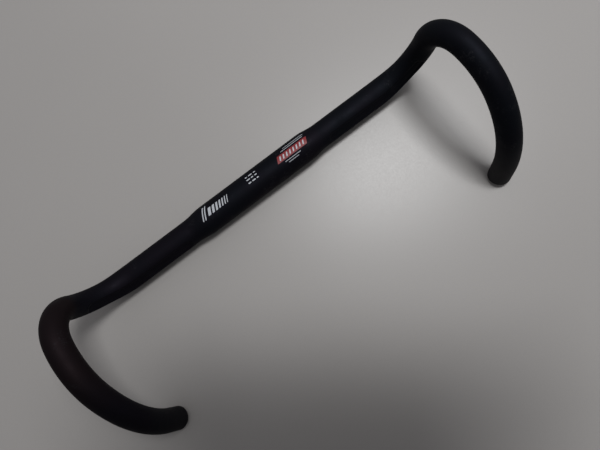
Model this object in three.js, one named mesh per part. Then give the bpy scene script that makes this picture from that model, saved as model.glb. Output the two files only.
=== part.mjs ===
// Drop handlebar, compact bend: one butted aluminium tube, swaged wide at the clamp, flattened on
// the tops and bent to a hook on each side. Each solid is one zone of the tube, from the clamp
// outwards, and neighbouring zones meet face to face on one shared ring.
// Millimetres. +X runs along the tops to the rider's left, +Y is up and +Z is forward when the bar
// is on a bicycle. Here it lies on a table below it, on its clamp zone and its two open ends.
import * as THREE from "three";

// ---- Driving dimensions ----
const CLAMP_DIAMETER = 31.7;
const HOOK_DIAMETER = 23.8;
const TOP_HEIGHT = 27.7; // the flattened tops, measured up the bicycle
const TOP_DEPTH = 25.4; // and fore and aft
const CLAMP_HALF = 64; // half length of the full clamp diameter
const TAPER_STEPS = 5; // the swage from the clamp to the tops, in straight steps
const TAPER_STEP = 4.4;
const TAPER_END = CLAMP_HALF + TAPER_STEPS * TAPER_STEP;
const OVAL_END = 163; // where the tops begin to draw down to the hook's diameter
const ROUND_START = 203; // where the tube is round again

const CLAMP_WALL = 2.0;
const TOP_WALL = 1.4;
const HOOK_WALL = 1.3;

// The bending table, from the clamp's middle to the open end. The plane of a bend is measured
// round the tube from forward (+Z) towards down (-Y), in degrees, as the angle bent is.
const BENDS = [
  { zone: "top", length: 160 },
  { zone: "shoulder", radius: 55, angle: 84, plane: 0 },
  { zone: "lever_bend", radius: 39, angle: 81, plane: 91.5 },
  { zone: "hook", radius: 84, angle: 38, plane: 91.5 },
  { zone: "drop", radius: 120, angle: 44.5, plane: 91.5 },
  { zone: "bar_end", length: 18 },
];

// The cable groove pressed into the lower front of each top: a slot with round ends.
const GROOVE_START = 90;
const GROOVE_END = 226;
const GROOVE_CENTRE = 60; // degrees round from forward towards down
const GROOVE_HALF_WIDTH = 6.4; // along the tube's surface
const GROOVE_SLOPE = 3.4; // width of its sloping sides
const GROOVE_DEPTH = 1.7;
const GROOVE_STEP = 2; // between rings round its ends

// Printed transfers on the front of the clamp zone: a film each, laid over whole facets. They reach
// from one distance left of the bar's middle to another, a taper step's end if not on the clamp
// zone, and round the tube between two facet edges, counted from the forward one towards down.
const FILM_GAP = 0.02;
const FILM_THICKNESS = 0.1;
const FILMS = [
  { name: "stripes_film", from: -CLAMP_HALF - TAPER_STEP, to: -28, edges: [-3, 1], finish: "whiteInk" },
  { name: "size_marks_film", from: -8, to: 9, edges: [-3, 1], finish: "whiteInk" },
  { name: "tag_film", from: 29, to: CLAMP_HALF + 3 * TAPER_STEP, edges: [-5, 3], finish: "redInk" },
];

const SIDES = 24; // facets round the tube, inside and outside
const BEND_STEP = 7; // most degrees bent between two rings
const DEGREE = Math.PI / 180;

// ---- Materials ----
const FINISHES = {
  satinBlack: { color: 0x0c0d10, roughness: 0.42, metalness: 0.35 },
  whiteInk: { color: 0xe6e6e6, roughness: 0.5, metalness: 0 },
  redInk: { color: 0xb5281c, roughness: 0.5, metalness: 0 },
};

// ---- The centreline ----
const X = new THREE.Vector3(1, 0, 0);

// A place on the centreline: its point, and the turn that carries the clamp's section there.
function advance(place, bend, along) {
  const tangent = X.clone().applyQuaternion(place.turn);
  if (!bend.radius) {
    return { point: place.point.clone().addScaledVector(tangent, along), turn: place.turn.clone() };
  }
  const swept = along / bend.radius;
  const plane = bend.plane * DEGREE;
  const inward = new THREE.Vector3(0, -Math.sin(plane), Math.cos(plane)).applyQuaternion(place.turn);
  const point = place.point
    .clone()
    .addScaledVector(tangent, bend.radius * Math.sin(swept))
    .addScaledVector(inward, bend.radius * (1 - Math.cos(swept)));
  const axis = tangent.clone().cross(inward).normalize();
  const turn = new THREE.Quaternion().setFromAxisAngle(axis, swept).multiply(place.turn);
  return { point, turn };
}

const bendLength = (bend) => bend.length ?? bend.radius * bend.angle * DEGREE;

function placeAt(distance, tilt) {
  let place = {
    point: new THREE.Vector3(),
    turn: new THREE.Quaternion().setFromAxisAngle(X, tilt),
  };
  let left = distance;
  for (const bend of BENDS) {
    const along = Math.min(left, bendLength(bend));
    place = advance(place, bend, along);
    left -= along;
  }
  return place;
}

// ---- The section ----
const smooth = (value, from, to) => THREE.MathUtils.smoothstep(value, from, to);
const mix = THREE.MathUtils.lerp;

function sectionSize(distance) {
  const taper = smooth(distance, CLAMP_HALF, TAPER_END);
  const draw = smooth(distance, OVAL_END, ROUND_START);
  const size = (clamp, top, hook) => mix(mix(clamp, top, taper), hook, draw);
  return {
    height: size(CLAMP_DIAMETER, TOP_HEIGHT, HOOK_DIAMETER) / 2,
    depth: size(CLAMP_DIAMETER, TOP_DEPTH, HOOK_DIAMETER) / 2,
    wall: size(CLAMP_WALL, TOP_WALL, HOOK_WALL),
  };
}

// How deep the groove is at an angle round the section, from how far inside its outline that is.
function grooveDepth(distance, angle) {
  const { height, depth } = sectionSize(distance);
  const turned = THREE.MathUtils.euclideanModulo(angle / DEGREE + 180 - GROOVE_CENTRE, 360) - 180;
  const around = (turned * DEGREE * (height + depth)) / 2;
  const firstCentre = GROOVE_START + GROOVE_HALF_WIDTH;
  const lastCentre = GROOVE_END - GROOVE_HALF_WIDTH;
  const pastCentre = Math.max(firstCentre - distance, distance - lastCentre, 0);
  const inside = GROOVE_HALF_WIDTH - Math.hypot(around, pastCentre);
  return GROOVE_DEPTH * smooth(inside, 0, GROOVE_SLOPE);
}

// One closed outline of the section, shrunk by inset, as points in space.
function outline(distance, tilt, inset) {
  const place = placeAt(distance, tilt);
  const { height, depth } = sectionSize(distance);
  const points = [];
  for (let i = 0; i < SIDES; i++) {
    const angle = (2 * Math.PI * i) / SIDES;
    const sunk = inset + grooveDepth(distance, angle);
    const y = -(height - sunk) * Math.sin(angle);
    const z = (depth - sunk) * Math.cos(angle);
    points.push(new THREE.Vector3(0, y, z).applyQuaternion(place.turn).add(place.point));
  }
  return points;
}

const ring = (distance, tilt) => ({
  outer: outline(distance, tilt, 0),
  inner: outline(distance, tilt, sectionSize(distance).wall),
});

const mirrored = (points) => points.map((p) => new THREE.Vector3(-p.x, p.y, p.z));
const mirroredRing = ({ outer, inner }) => ({ outer: mirrored(outer), inner: mirrored(inner) });

// The turn about X that lets the clamp zone and both open ends touch one level table.
function restTilt() {
  const end = BENDS.reduce((sum, bend) => sum + bendLength(bend), 0);
  const lowest = (distance, tilt) => Math.min(...outline(distance, tilt, 0).map((p) => p.z));
  let low = -20 * DEGREE;
  let high = 20 * DEGREE;
  for (let i = 0; i < 50; i++) {
    const middle = (low + high) / 2;
    const endIsHigher = lowest(end, middle) > lowest(0, middle);
    if (endIsHigher) low = middle;
    else high = middle;
  }
  return low;
}

// ---- Meshes ----
// A closed shell between two skins of points, both as rows of the same length. A tube's rows close
// on themselves; a film's rows have two side edges.
function shellGeometry(rows, closed) {
  const width = rows[0].outer.length;
  const vertices = rows.flatMap(({ outer, inner }) => [...outer, ...inner]);
  const outerAt = (row, i) => row * 2 * width + (i % width);
  const innerAt = (row, i) => outerAt(row, i) + width;
  const faces = [];
  const quad = (a, b, c, d) => faces.push(a, b, c, a, c, d);
  const spans = closed ? width : width - 1;
  const last = rows.length - 1;
  for (let row = 0; row < last; row++) {
    for (let i = 0; i < spans; i++) {
      quad(outerAt(row, i), outerAt(row, i + 1), outerAt(row + 1, i + 1), outerAt(row + 1, i));
      quad(innerAt(row, i), innerAt(row + 1, i), innerAt(row + 1, i + 1), innerAt(row, i + 1));
    }
    if (!closed) {
      quad(outerAt(row, 0), outerAt(row + 1, 0), innerAt(row + 1, 0), innerAt(row, 0));
      quad(outerAt(row, spans), innerAt(row, spans), innerAt(row + 1, spans), outerAt(row + 1, spans));
    }
  }
  for (let i = 0; i < spans; i++) {
    quad(outerAt(0, i), innerAt(0, i), innerAt(0, i + 1), outerAt(0, i + 1));
    quad(outerAt(last, i), outerAt(last, i + 1), innerAt(last, i + 1), innerAt(last, i));
  }
  const geometry = new THREE.BufferGeometry().setFromPoints(vertices);
  geometry.setIndex(faces);
  geometry.computeVertexNormals();
  return geometry;
}

// Evenly spaced distances from one place to another, no further apart than step.
function spaced(from, to, step) {
  const count = Math.max(1, Math.ceil((to - from) / step - 1e-9));
  return Array.from({ length: count + 1 }, (_, i) => mix(from, to, i / count));
}

const TILT = restTilt();
const handlebar = new THREE.Group();

function addMesh(name, rings, finish, closed = true) {
  const material = new THREE.MeshStandardMaterial(FINISHES[finish]);
  const mesh = new THREE.Mesh(shellGeometry(rings, closed), material);
  mesh.name = name;
  handlebar.add(mesh);
}

// A zone on both sides, its rings at the given distances from the clamp's middle.
function addZone(name, distances) {
  const rings = distances.map((distance) => ring(distance, TILT));
  addMesh("left_" + name, rings, "satinBlack");
  addMesh("right_" + name, rings.map(mirroredRing).reverse(), "satinBlack");
}

// The distances of a zone's rings: evenly spaced, with closer ones round the groove's ends.
function ringDistances(start, end, step) {
  const close = [
    ...spaced(GROOVE_START, GROOVE_START + GROOVE_HALF_WIDTH, GROOVE_STEP),
    ...spaced(GROOVE_END - GROOVE_HALF_WIDTH, GROOVE_END, GROOVE_STEP),
  ].filter((distance) => distance > start && distance < end);
  const isClear = (distance) => close.every((other) => Math.abs(other - distance) > GROOVE_STEP);
  const even = spaced(start, end, step).filter(
    (distance) => distance === start || distance === end || isClear(distance),
  );
  return [...even, ...close].sort((a, b) => a - b);
}

function addTube() {
  const clampEnd = ring(CLAMP_HALF, TILT);
  addMesh("clamp_section", [mirroredRing(clampEnd), clampEnd], "satinBlack");
  addZone("taper", spaced(CLAMP_HALF, TAPER_END, TAPER_STEP));
  let bendStart = 0;
  for (const bend of BENDS) {
    const end = bendStart + bendLength(bend);
    const start = Math.max(bendStart, TAPER_END);
    const step = bend.length ?? bend.radius * BEND_STEP * DEGREE;
    addZone(bend.zone, ringDistances(start, end, step));
    bendStart = end;
  }
}

// The places along a film where it needs a row: its ends, and each taper ring between them.
function filmRows(from, to) {
  const left = spaced(CLAMP_HALF, TAPER_END, TAPER_STEP);
  const rings = [...left.map((distance) => -distance).reverse(), ...left];
  return [from, ...rings.filter((distance) => distance > from + 1e-6 && distance < to - 1e-6), to];
}

// One row of a film's skin, a little proud of the tube's flat facets.
function filmSkin(distance, [firstEdge, lastEdge], proud) {
  const points = outline(Math.abs(distance), TILT, -proud);
  const placed = distance < 0 ? mirrored(points) : points;
  const edges = Array.from({ length: lastEdge - firstEdge + 1 }, (_, i) => firstEdge + i);
  return edges.map((edge) => placed[(edge + SIDES) % SIDES]);
}

function addFilm({ name, from, to, edges, finish }) {
  const rows = filmRows(from, to).map((distance) => ({
    outer: filmSkin(distance, edges, FILM_GAP + FILM_THICKNESS),
    inner: filmSkin(distance, edges, FILM_GAP),
  }));
  addMesh(name, rows, finish, false);
}

addTube();
FILMS.forEach(addFilm);

export default handlebar;
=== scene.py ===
"""A bare drop handlebar on a pale table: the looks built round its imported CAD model."""
import math

import bpy
import numpy as np
from mathutils import Matrix, Vector


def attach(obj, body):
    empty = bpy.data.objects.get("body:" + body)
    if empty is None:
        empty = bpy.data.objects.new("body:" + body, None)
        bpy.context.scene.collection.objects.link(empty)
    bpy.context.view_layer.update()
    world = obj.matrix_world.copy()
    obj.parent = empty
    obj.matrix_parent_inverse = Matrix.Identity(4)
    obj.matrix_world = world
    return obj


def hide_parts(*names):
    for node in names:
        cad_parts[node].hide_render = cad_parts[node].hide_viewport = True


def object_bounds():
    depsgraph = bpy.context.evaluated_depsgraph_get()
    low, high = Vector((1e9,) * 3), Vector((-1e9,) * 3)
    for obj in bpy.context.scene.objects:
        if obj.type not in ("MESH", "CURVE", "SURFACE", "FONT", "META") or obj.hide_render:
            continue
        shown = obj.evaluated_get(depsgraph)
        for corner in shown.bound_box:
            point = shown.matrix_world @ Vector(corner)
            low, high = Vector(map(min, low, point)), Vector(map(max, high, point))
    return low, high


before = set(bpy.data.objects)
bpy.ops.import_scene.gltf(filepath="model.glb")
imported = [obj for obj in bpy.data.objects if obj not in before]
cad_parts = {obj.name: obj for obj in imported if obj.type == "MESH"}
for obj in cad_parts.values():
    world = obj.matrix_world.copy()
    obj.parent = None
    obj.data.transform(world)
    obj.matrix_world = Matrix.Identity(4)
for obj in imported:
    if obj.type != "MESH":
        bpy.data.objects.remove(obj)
cad_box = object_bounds()

MM = 0.001
DEGREE = math.pi / 180

# ---- The tube, as the CAD model has it (millimetres and degrees) ----
CLAMP_DIAMETER = 31.7
HOOK_DIAMETER = 23.8
TOP_HEIGHT = 27.7
TOP_DEPTH = 25.4
CLAMP_HALF = 64.0
TAPER_END = 86.0
OVAL_END = 163.0
ROUND_START = 203.0
CLAMP_WALL, TOP_WALL, HOOK_WALL = 2.0, 1.4, 1.3

# Zones from the clamp outwards: a straight length, or a bend's radius, angle and plane, which is
# measured round the tube from forward towards down.
BENDS = [
    ("top", 160.0),
    ("shoulder", (55.0, 84.0, 0.0)),
    ("lever_bend", (39.0, 81.0, 91.5)),
    ("hook", (84.0, 38.0, 91.5)),
    ("drop", (120.0, 44.5, 91.5)),
    ("bar_end", 18.0),
]
GROOVE_START = 90.0
GROOVE_END = 226.0
GROOVE_CENTRE = 60.0
GROOVE_HALF_WIDTH = 6.4  # along the surface
GROOVE_SLOPE = 3.4  # width of its sloping sides
GROOVE_DEPTH = 1.7

COLUMNS = 120  # facets round the tube
ROW_STEP = 1.5  # between rows of the outside
BORE_STEP = 6.0  # and of the bore
RIM_RADIUS = 0.35  # the deburred edges of the open ends
RIM_ROWS = 5
ANGLES = 2 * math.pi * np.arange(COLUMNS) / COLUMNS  # from forward towards down


def smooth(value, low, high):
    """Eases from 0 at low to 1 at high."""
    t = np.clip((value - low) / (high - low), 0, 1)
    return t * t * (3 - 2 * t)


def bend_length(shape):
    """How far a zone reaches along the centreline."""
    return shape if isinstance(shape, float) else shape[0] * shape[1] * DEGREE


BAR_END = sum(bend_length(shape) for _, shape in BENDS)


def rest_tilt():
    """The turn about X at which the bar lies: how far the clamp's foremost edge leans."""
    points = np.array([v.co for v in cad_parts["clamp_section"].data.vertices])
    foremost = points[np.argmax(points[:, 2])]
    return math.atan2(-foremost[1], foremost[2])


TILT = rest_tilt()


def place(distance):
    """The tube's centre at a distance left of the bar's middle, and its section's axes."""
    point = Vector((0, 0, 0))
    turn = Matrix.Rotation(TILT, 3, "X")
    left = abs(distance)
    for _, shape in BENDS:
        along = min(left, bend_length(shape))
        left -= along
        tangent = turn @ Vector((1, 0, 0))
        if isinstance(shape, float):
            point = point + tangent * along
        elif along > 0:
            radius, _, plane = shape
            swept = along / radius
            inward = turn @ Vector((0, -math.sin(plane * DEGREE), math.cos(plane * DEGREE)))
            forwards = radius * math.sin(swept)
            sideways = radius * (1 - math.cos(swept))
            point = point + tangent * forwards + inward * sideways
            turn = Matrix.Rotation(swept, 3, tangent.cross(inward)) @ turn
    point, turn = np.array(point), np.array(turn)
    if distance < 0:  # the other side is the mirror image, with its tangent kept leftwards
        point[0] *= -1
        turn[0] *= -1
        turn[:, 0] *= -1
    return point, turn


def section_size(distance):
    """Half height, half depth and wall of the tube there."""
    taper = smooth(abs(distance), CLAMP_HALF, TAPER_END)
    draw = smooth(abs(distance), OVAL_END, ROUND_START)

    def size(clamp, top, hook):
        tops = clamp + (top - clamp) * taper
        return tops + (hook - tops) * draw

    return (
        size(CLAMP_DIAMETER, TOP_HEIGHT, HOOK_DIAMETER) / 2,
        size(CLAMP_DIAMETER, TOP_DEPTH, HOOK_DIAMETER) / 2,
        size(CLAMP_WALL, TOP_WALL, HOOK_WALL),
    )


def groove_depth(distance, angles):
    """A slot with round ends and sloping sides, measured along the tube's surface."""
    height, depth, _ = section_size(distance)
    turned = (angles / DEGREE + 180 - GROOVE_CENTRE) % 360 - 180
    around = turned * DEGREE * (height + depth) / 2
    first = GROOVE_START + GROOVE_HALF_WIDTH
    last = GROOVE_END - GROOVE_HALF_WIDTH
    past_end = max(first - abs(distance), abs(distance) - last, 0)
    inside = GROOVE_HALF_WIDTH - np.hypot(around, past_end)
    return GROOVE_DEPTH * smooth(inside, 0, GROOVE_SLOPE)


def surface(distance, angles, inset=0.0):
    """Points of the tube's skin at those angles, sunk by inset."""
    centre, turn = place(distance)
    height, depth, _ = section_size(distance)
    sunk = inset + groove_depth(distance, angles)
    across = np.zeros_like(angles)
    local = np.stack([across, -(height - sunk) * np.sin(angles), (depth - sunk) * np.cos(angles)], 1)
    return centre + local @ turn.T


def surface_normals(distance, angles, inset=0.0):
    """The outward normals there."""
    step, turn = 0.15, 0.01  # millimetres along, radians round
    along = surface(distance + step, angles, inset) - surface(distance - step, angles, inset)
    around = surface(distance, angles + turn, inset) - surface(distance, angles - turn, inset)
    out = np.cross(around, along)
    return out / np.linalg.norm(out, axis=1, keepdims=True)


def spaced(start, end, step):
    """Even steps from start to end, none longer than step."""
    return np.linspace(start, end, max(1, math.ceil((end - start) / step - 1e-9)) + 1)


# ---- Meshes ----
def make_piece(name, points, faces, normals, material, nodes):
    """A smooth piece from points in millimetres, faces and a normal for each corner of each face."""
    mesh = bpy.data.meshes.new(name)
    mesh.from_pydata((np.asarray(points) * MM).tolist(), [], faces)
    mesh.polygons.foreach_set("use_smooth", [True] * len(faces))
    mesh.normals_split_custom_set(normals)
    mesh.materials.append(material)
    piece = bpy.data.objects.new(name, mesh)
    bpy.context.scene.collection.objects.link(piece)
    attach(piece, "root")
    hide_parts(*nodes)


class Skin:
    """Rows of points that become one closed shell, with a normal at each corner."""

    def __init__(self):
        self.points, self.faces, self.normals = [], [], []

    def add_rows(self, rows):
        """Takes in rows of the same length, and returns their points' numbers."""
        first = len(self.points)
        width = len(rows[0])
        for row in rows:
            self.points.extend(row)
        return [list(range(first + i * width, first + (i + 1) * width)) for i in range(len(rows))]

    def join(self, lower, upper, lower_normals, upper_normals, closed):
        """A band of faces between two rows of the same length."""
        width = len(lower)
        for i in range(width if closed else width - 1):
            j = (i + 1) % width
            self.faces.append([lower[i], lower[j], upper[j], upper[i]])
            self.normals += [lower_normals[i], lower_normals[j], upper_normals[j], upper_normals[i]]


def add_tube_zone(name, start, end, node, material):
    """One closed zone of the tube: its outside, its bore and the faces across its wall."""
    skin = Skin()
    # A row is its distance, its inset and the lean of its normals along the tube.
    outside = [(distance, 0.0, 0.0) for distance in spaced(start, end, ROW_STEP)]
    bore = [(distance, 0.0, 0.0) for distance in spaced(start, end, BORE_STEP)]
    turned = np.linspace(0, math.pi / 2, RIM_ROWS)
    for side, tip in ((-1, start), (1, end)):
        if abs(abs(tip) - BAR_END) > 1e-6:
            continue  # only the bar's open ends are deburred
        for rows in (outside, bore):
            rounded = [
                (
                    tip - side * RIM_RADIUS * (1 - math.sin(turn)),
                    RIM_RADIUS * (1 - math.cos(turn)),
                    side * turn,
                )
                for turn in turned
            ]
            if side > 0:
                rows[-1:] = rounded
            else:
                rows[:1] = rounded[::-1]

    def make(rows, inner):
        made, leaning = [], []
        for distance, inset, lean in rows:
            wall = section_size(distance)[2]
            sunk = wall - inset if inner else inset
            out = surface_normals(distance, ANGLES, sunk) * (-1 if inner else 1)
            tangent = place(distance)[1][:, 0]
            made.append(surface(distance, ANGLES, sunk))
            leaning.append(out * math.cos(lean) + tangent * math.sin(lean))
        return skin.add_rows(made), leaning

    outer, outer_normals = make(outside, False)
    inner, inner_normals = make(bore, True)
    for a, b, na, nb in zip(outer, outer[1:], outer_normals, outer_normals[1:]):
        skin.join(a, b, na, nb, True)
    for a, b, na, nb in zip(inner, inner[1:], inner_normals, inner_normals[1:]):
        skin.join(b, a, nb, na, True)
    for tip, side, (a, b) in ((start, -1, (inner[0], outer[0])), (end, 1, (outer[-1], inner[-1]))):
        facing = [place(tip)[1][:, 0] * side] * COLUMNS
        skin.join(a, b, facing, facing, True)
    make_piece(name, skin.points, skin.faces, skin.normals, material, [node])


# ---- Materials ----
def new_material(name):
    material = bpy.data.materials.new(name)
    material.use_nodes = True
    tree = material.node_tree
    tree.nodes.clear()
    output = tree.nodes.new("ShaderNodeOutputMaterial")
    shader = tree.nodes.new("ShaderNodeBsdfPrincipled")
    tree.links.new(shader.outputs["BSDF"], output.inputs["Surface"])
    return material, tree, shader


def add_node(tree, kind, inputs=None, **settings):
    node = tree.nodes.new("ShaderNode" + kind)
    for key, value in settings.items():
        setattr(node, key, value)
    for key, value in (inputs or {}).items():
        if isinstance(value, bpy.types.NodeSocket):
            tree.links.new(value, node.inputs[key])
        else:
            node.inputs[key].default_value = value
    return node


def noise(tree, where, scale, detail=3.0, roughness=0.5):
    inputs = {"Vector": where, "Scale": scale, "Detail": detail, "Roughness": roughness}
    return add_node(tree, "TexNoise", inputs).outputs["Fac"]


def ranged(tree, value, low, high, to_low, to_high):
    """A value spread from one range to another, and held at its ends."""
    inputs = {"Value": value, "From Min": low, "From Max": high, "To Min": to_low, "To Max": to_high}
    return add_node(tree, "MapRange", inputs).outputs["Result"]


def calculate(tree, operation, first, second):
    return add_node(tree, "Math", {0: first, 1: second}, operation=operation).outputs[0]


def blend_colours(tree, factor, first, second):
    """From first, where factor is 0, to second. Either is a colour or a socket."""
    node = add_node(tree, "Mix", data_type="RGBA")
    colours = [s for s in node.inputs if s.type == "RGBA"]
    tree.links.new(factor, node.inputs[0])
    for socket, colour in zip(colours, (first, second)):
        if isinstance(colour, bpy.types.NodeSocket):
            tree.links.new(colour, socket)
        else:
            socket.default_value = colour
    return [s for s in node.outputs if s.type == "RGBA"][0]


def bump(tree, height, distance, strength):
    inputs = {"Height": height, "Distance": distance, "Strength": strength}
    return add_node(tree, "Bump", inputs).outputs["Normal"]


def make_black():
    """Black anodised skin: blasted grain and handling marks, with painted light on it: a warm sheen
    painted on one hook's upper part, the open ends painted lighter grey, and a hue drift along the
    bar painted for warm and cool reflections.
    """
    material, tree, shader = new_material("satin_black_coat")
    where = add_node(tree, "TexCoord").outputs["Object"]
    clouds = noise(tree, where, 22.0, 4.0)
    smudges = noise(tree, where, 75.0, 5.0, 0.6)
    grain = noise(tree, where, 2600.0, 2.0)
    specks = noise(tree, where, 1100.0, 2.0)
    patches = noise(tree, where, 48.0, 3.0)
    scratches = noise(tree, where, 650.0, 4.0, 0.65)
    cool = (0.0074, 0.0085, 0.0118, 1)
    violet = (0.0095, 0.0083, 0.0122, 1)
    # Painted warm sheen: the colour laid on one hook's upper part.
    faded_ink_and_warm_sheen = (0.0143, 0.0099, 0.0114, 1)
    # Painted light: the lighter grey of the open ends.
    painted_end_light = (0.0310, 0.0300, 0.0320, 1)
    worn = (0.045, 0.045, 0.050, 1)

    # Where the painted warm sheen and the painted lighter ends lie goes by the place on the bar, in
    # metres, with an uneven edge.
    place_on_bar = add_node(tree, "SeparateXYZ", {"Vector": where}).outputs
    height = calculate(tree, "ADD", place_on_bar["Z"], ranged(tree, clouds, 0, 1, 0, 0.016))

    def within(amount, axis, none, full, least=0):
        reach = ranged(tree, place_on_bar[axis], none, full, least, 1)
        return calculate(tree, "MULTIPLY", amount, reach)

    # Painted warm sheen: the upper part of the hook on the -X side.
    warm_sheen_mask = ranged(tree, height, 0.058, 0.068, 0, 1)
    warm_sheen_mask = within(warm_sheen_mask, "X", -0.18, -0.19)
    warm_sheen_mask = within(warm_sheen_mask, "Y", -0.110, -0.065)
    # Painted light: the last few centimetres of the open ends lighter, fully on the +X end and at
    # 0.3 on the -X end.
    painted_end_light_mask = ranged(tree, height, 0.064, 0.020, 0, 1)
    painted_end_light_mask = within(painted_end_light_mask, "Y", -0.100, -0.125)
    painted_end_light_mask = within(painted_end_light_mask, "X", -0.1, 0.1, least=0.3)
    # Painted warm and cool reflections: the hue leans violet towards -X and cool towards +X, on top
    # of the coat's random two-tone clouds.
    painted_warm_drift = ranged(tree, place_on_bar["X"], -0.2, 0.2, 0.14, -0.14)
    tone_and_warm_drift = calculate(tree, "ADD", clouds, painted_warm_drift)
    scuffed = calculate(
        tree,
        "MULTIPLY",
        ranged(tree, patches, 0.58, 0.68, 0, 1),
        ranged(tree, scratches, 0.50, 0.68, 0, 0.6),
    )

    # Random two-tone clouds, shifted by the painted warm and cool drift.
    colour = blend_colours(tree, ranged(tree, tone_and_warm_drift, 0.35, 0.65, 0, 1), cool, violet)
    # Lays on the painted warm sheen.
    colour = blend_colours(tree, warm_sheen_mask, colour, faded_ink_and_warm_sheen)
    # Lays on the painted lighter ends.
    colour = blend_colours(tree, painted_end_light_mask, colour, painted_end_light)
    colour = blend_colours(tree, ranged(tree, specks, 0.74, 0.80, 0, 0.7), colour, worn)
    colour = blend_colours(tree, scuffed, colour, worn)
    tree.links.new(colour, shader.inputs["Base Color"])
    satin = ranged(tree, smudges, 0.35, 0.7, 0.57, 0.67)
    gritty = ranged(tree, grain, 0.3, 0.7, -0.03, 0.03)
    tree.links.new(calculate(tree, "ADD", satin, gritty), shader.inputs["Roughness"])
    shader.inputs["Metallic"].default_value = 0.7
    shader.inputs["Specular IOR Level"].default_value = 0.1
    shader.inputs["Specular Tint"].default_value = (0.65, 0.65, 0.65, 1)
    tree.links.new(bump(tree, grain, 0.00002, 0.6), shader.inputs["Normal"])
    return material


def make_ink(name, colour, faded_ink_and_warm_sheen):
    """Screen-printed ink: slightly uneven cover, with a soft grain."""
    material, tree, shader = new_material(name)
    where = add_node(tree, "TexCoord").outputs["Object"]
    cover = noise(tree, where, 900.0, 4.0, 0.6)
    grain = noise(tree, where, 4200.0, 2.0)
    mixed = blend_colours(tree, ranged(tree, cover, 0.35, 0.6, 0, 1), faded_ink_and_warm_sheen, colour)
    tree.links.new(mixed, shader.inputs["Base Color"])
    tree.links.new(ranged(tree, cover, 0.3, 0.7, 0.42, 0.55), shader.inputs["Roughness"])
    shader.inputs["Specular IOR Level"].default_value = 0.4
    tree.links.new(bump(tree, grain, 0.00001, 0.5), shader.inputs["Normal"])
    return material


COAT = make_black()
WHITE_INK = make_ink("white_ink", (0.56, 0.58, 0.62, 1), (0.46, 0.48, 0.52, 1))
RED_INK = make_ink("red_ink", (0.26, 0.022, 0.026, 1), (0.20, 0.018, 0.022, 1))

# ---- The tube's zones ----
add_tube_zone("tube_clamp", -CLAMP_HALF, CLAMP_HALF, "clamp_section", COAT)
zones = [("taper", CLAMP_HALF, TAPER_END)]
reached = 0.0
for zone, shape in BENDS:
    zones.append((zone, max(reached, TAPER_END), reached + bend_length(shape)))
    reached += bend_length(shape)
for zone, start, end in zones:
    add_tube_zone("tube_left_" + zone, start, end, "left_" + zone, COAT)
    add_tube_zone("tube_right_" + zone, -end, -start, "right_" + zone, COAT)

# ---- Printed marks ----
INK_BASE = 0.01  # how proud of the tube the ink starts
INK_THICKNESS = 0.05
SLANT = 0.45  # how far a bar leans left for each millimetre up
CLAMP_RADIUS = CLAMP_DIAMETER / 2


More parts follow.
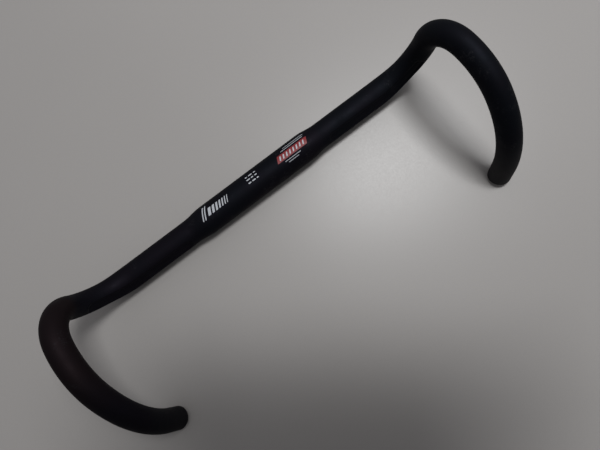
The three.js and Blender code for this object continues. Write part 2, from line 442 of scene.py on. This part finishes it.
class Print(Skin):
    """Thin shells of ink laid on the tube. A place is its distance left of the bar's middle and its
    arc round the clamp zone's surface from forward towards down, both in millimetres."""

    def patch(self, places, layer=0):
        """One shell over a grid of places."""
        places = np.asarray(places, float)
        rows, columns, _ = places.shape
        raised = INK_BASE + INK_THICKNESS * (layer + 1)
        low = raised - INK_THICKNESS

        def at(row, column, proud):
            distance, arc = places[row, column]
            angle = np.array([arc / CLAMP_RADIUS])
            return surface(distance, angle, -proud)[0], surface_normals(distance, angle)[0]

        grid = [[(at(r, c, raised), at(r, c, low)) for c in range(columns)] for r in range(rows)]
        top = self.add_rows([[cell[0][0] for cell in row] for row in grid])
        base = self.add_rows([[cell[1][0] for cell in row] for row in grid])
        outward = [[cell[0][1] for cell in row] for row in grid]
        by_row, by_column = places[1, 0] - places[0, 0], places[0, 1] - places[0, 0]
        flip = by_row[0] * by_column[1] > by_row[1] * by_column[0]
        for r in range(rows - 1):
            low_row, high_row = (r + 1, r) if flip else (r, r + 1)
            self.join(top[high_row], top[low_row], outward[high_row], outward[low_row], False)
            inward = [[-n for n in outward[k]] for k in (low_row, high_row)]
            self.join(base[low_row], base[high_row], inward[0], inward[1], False)
        rim = [(0, c) for c in range(columns)]
        rim += [(r, columns - 1) for r in range(1, rows)]
        rim += [(rows - 1, c) for c in range(columns - 2, -1, -1)]
        rim += [(r, 0) for r in range(rows - 2, 0, -1)]
        for (r1, c1), (r2, c2) in zip(rim, rim[1:] + rim[:1]):
            corners = [top[r1][c1], top[r2][c2], base[r2][c2], base[r1][c1]]
            if flip:
                corners.reverse()
            a, b, c = (np.asarray(self.points[k]) for k in corners[:3])
            facing = np.cross(b - a, c - b)
            facing /= np.linalg.norm(facing) or 1
            self.faces.append(corners)
            self.normals += [facing] * 4

    def bar(self, start, width, low, high, layer=0):
        """A slanted bar with round corners, which begins at start on its arc's middle."""
        corner = 0.25
        arcs = spaced(low, high, 0.5)
        middle = (low + high) / 2
        rows = []
        for arc in arcs:
            tip = min(arc - low, high - arc)
            cut = 0.0
            if tip < corner:
                cut = corner - math.sqrt(max(0, corner**2 - (corner - tip) ** 2))
            left = start - (arc - middle) * SLANT
            rows.append([(x, arc) for x in spaced(left + cut, left + width - cut, 3.0)])
        count = max(len(row) for row in rows)
        rows = [[(x, row[0][1]) for x in np.linspace(row[0][0], row[-1][0], count)] for row in rows]
        self.patch(rows, layer)

    def stroke(self, start, end, arc, width):
        """A straight stroke along the tube, with round ends."""
        total = end - start
        rounding = [0, 0.05, 0.15, 0.3, 0.5]  # where a round end has rows, in widths from its tip
        marks = sorted(
            {round(part * width, 6) for part in rounding}
            | {round(total - part * width, 6) for part in rounding}
            | {round(m, 6) for m in spaced(width / 2, total - width / 2, 0.6)}
        )
        rows = []
        for mark in marks:
            tip = min(mark, total - mark, width / 2)
            half = max(math.sqrt(max(0, (width / 2) ** 2 - (width / 2 - tip) ** 2)), 0.02)
            rows.append([(start + mark, arc + side * half) for side in (-1, 0, 1)])
        self.patch(rows)


def add_print(name, ink, material, node):
    make_piece(name, ink.points, ink.faces, ink.normals, material, [node])


# A generic row of leaning bars, of which the first two, at its right-hand end, are tall and thin.
stripes = Print()
for start in (-64.2, -61.2):
    stripes.bar(start, 1.3, -11.2, 3.6)
for start, width in (
    (-57.4, 3.4),
    (-52.2, 2.8),
    (-47.6, 2.3),
    (-43.5, 1.9),
    (-39.8, 1.5),
    (-36.5, 1.2),
    (-33.5, 0.9),
):
    stripes.bar(start, width, -6.2, 1.8)
add_print("print_stripes", stripes, WHITE_INK, "stripes_film")

# Three rows of small dashes, where the bar's sizes are marked: each dash's start and length.
SIZES_START, SIZES_ARC, SIZES_ROW, DASH_WIDTH = -6.2, -8.3, 3.9, 1.25
sizes = Print()
for row, dashes in enumerate(
    (
        ((0, 2.6), (4.2, 4.6), (10.4, 2.6)),
        ((0, 4.4), (5.6, 3.0), (10.2, 2.8)),
        ((0, 3.4), (4.8, 4.4), (10.6, 2.4)),
    )
):
    for offset, length in dashes:
        start = SIZES_START + offset
        sizes.stroke(start, start + length, SIZES_ARC + SIZES_ROW * row, DASH_WIDTH)
add_print("print_sizes", sizes, WHITE_INK, "size_marks_film")

# A red leaning tag, with white ticks on it and thin white lines above and below it.
TAG_START, TAG_WIDTH, TAG_LOW, TAG_HIGH = 32.0, 37.5, -5.6, 1.9
tag = Print()
tag.bar(TAG_START, TAG_WIDTH, TAG_LOW, TAG_HIGH)
add_print("print_tag", tag, RED_INK, "tag_film")

LINE_WIDTH = 0.6
lines = Print()
for k in range(8):
    lines.bar(TAG_START + 3.0 + 4.2 * k, 1.6, -4.0, 0.4, layer=1)
for k in range(2):
    lines.stroke(40.0 + 4.0 * k, 68.0 + 2.2 * k, -8.2 - 2.6 * k, LINE_WIDTH)
    lines.stroke(38.0 + 3.0 * k, 58.0 - 4.0 * k, 4.2 + 2.4 * k, LINE_WIDTH)
add_print("print_lines", lines, WHITE_INK, "tag_film")


# ---- The table, the lights and the camera ----
def make_table():
    """Pale laminate, a little glossy and pebbled."""
    material, tree, shader = new_material("table_top")
    where = add_node(tree, "TexCoord").outputs["Object"]
    fine = noise(tree, where, 900.0, 3.0)
    peel = noise(tree, where, 640.0, 2.0)
    broad = noise(tree, where, 3.0, 2.0)
    light = (0.420, 0.402, 0.388, 1)
    dark = (0.389, 0.372, 0.359, 1)
    amount = calculate(
        tree,
        "ADD",
        ranged(tree, fine, 0.3, 0.7, 0.0, 0.5),
        ranged(tree, broad, 0.3, 0.7, 0.0, 0.5),
    )
    tree.links.new(blend_colours(tree, amount, dark, light), shader.inputs["Base Color"])
    tree.links.new(ranged(tree, peel, 0.3, 0.7, 0.32, 0.40), shader.inputs["Roughness"])
    tree.links.new(bump(tree, fine, 0.00003, 0.4), shader.inputs["Normal"])
    return material


def stage_card(name, corners, material):
    """A flat four-cornered card that isn't part of the object."""
    mesh = bpy.data.meshes.new(name)
    mesh.from_pydata([tuple(corner) for corner in corners], [], [[0, 1, 2, 3]])
    mesh.materials.append(material)
    card = bpy.data.objects.new(name, mesh)
    bpy.context.scene.collection.objects.link(card)
    return card


def add_table():
    low = cad_box[0][2]
    half = 3.0
    corners = [(-half, -half, low), (half, -half, low), (half, half, low), (-half, half, low)]
    stage_card("table_top", corners, make_table())


def add_ceiling_light():
    """One soft panel, whose glare lies on the table beside the bar."""
    data = bpy.data.lights.new("ceiling", "AREA")
    data.shape = "RECTANGLE"
    data.size, data.size_y = 0.66, 0.36
    data.energy = 17.4
    data.color = (0.985, 0.995, 1.0)
    lamp = bpy.data.objects.new("ceiling", data)
    lamp.location = (0.58, 0.150, 1.70)
    lamp.rotation_euler = (0, 0, -0.26)
    bpy.context.scene.collection.objects.link(lamp)


def add_world():
    """Dim room light, brighter behind the bar's top side than on the photographer's side. The
    camera sees it as an even backdrop."""
    world = bpy.data.worlds.new("studio")
    world.use_nodes = True
    tree = world.node_tree
    background = tree.nodes["Background"]
    direction = add_node(tree, "TexCoord").outputs["Generated"]
    aft = (0.605, 0.796, 0.0)  # away from the photographer
    towards = add_node(tree, "VectorMath", {0: direction, 1: aft}, operation="DOT_PRODUCT")
    strength = ranged(tree, towards.outputs["Value"], -0.78, 0.20, 0.10, 0.37)
    seen = add_node(tree, "LightPath").outputs["Is Camera Ray"]
    backdrop = 0.62
    shown = add_node(tree, "Mix", {0: seen, 2: strength, 3: backdrop}, data_type="FLOAT").outputs[0]
    tree.links.new(shown, background.inputs["Strength"])
    background.inputs["Color"].default_value = (0.97, 0.97, 1.0, 1)
    bpy.context.scene.world = world


def add_flag():
    """A dark card over the bar, which shades the near side of the table as the photographer did."""
    material, _, shader = new_material("studio_flag")
    shader.inputs["Base Color"].default_value = (0.01, 0.01, 0.01, 1)
    shader.inputs["Roughness"].default_value = 1.0
    across = Vector((0.79, -0.6, 0)).normalized()
    back = Vector((-0.6, -0.79, 0)).normalized()
    edge = Vector((0.090, -0.111, 0.40))
    half_width, length = 0.160, 0.36
    corners = [
        edge - across * half_width,
        edge + across * half_width,
        edge + across * half_width + back * length,
        edge - across * half_width + back * length,
    ]
    stage_card("studio_flag", corners, material).visible_camera = False


def add_camera():
    """A phone's camera, held above the bar on the side of its open ends."""
    where = Vector((1.357, -127.075, 466.220)) * MM
    look = Vector((0.02019, 0.13310, -0.99090)).normalized()
    up = Vector((0.60045, 0.79084, 0.11846))
    right = look.cross(up).normalized()
    up = right.cross(look)
    axes = Matrix((right, up, -look)).transposed()
    data = bpy.data.cameras.new("camera")
    data.lens = 26.78
    data.sensor_width = 36.0
    data.clip_start = 0.01
    camera = bpy.data.objects.new("camera", data)
    camera.matrix_world = Matrix.Translation(where) @ axes.to_4x4()
    bpy.context.scene.collection.objects.link(camera)
    bpy.context.scene.camera = camera


add_table()
add_ceiling_light()
add_world()
add_flag()
add_camera()
bpy.context.scene.view_settings.view_transform = "Standard"
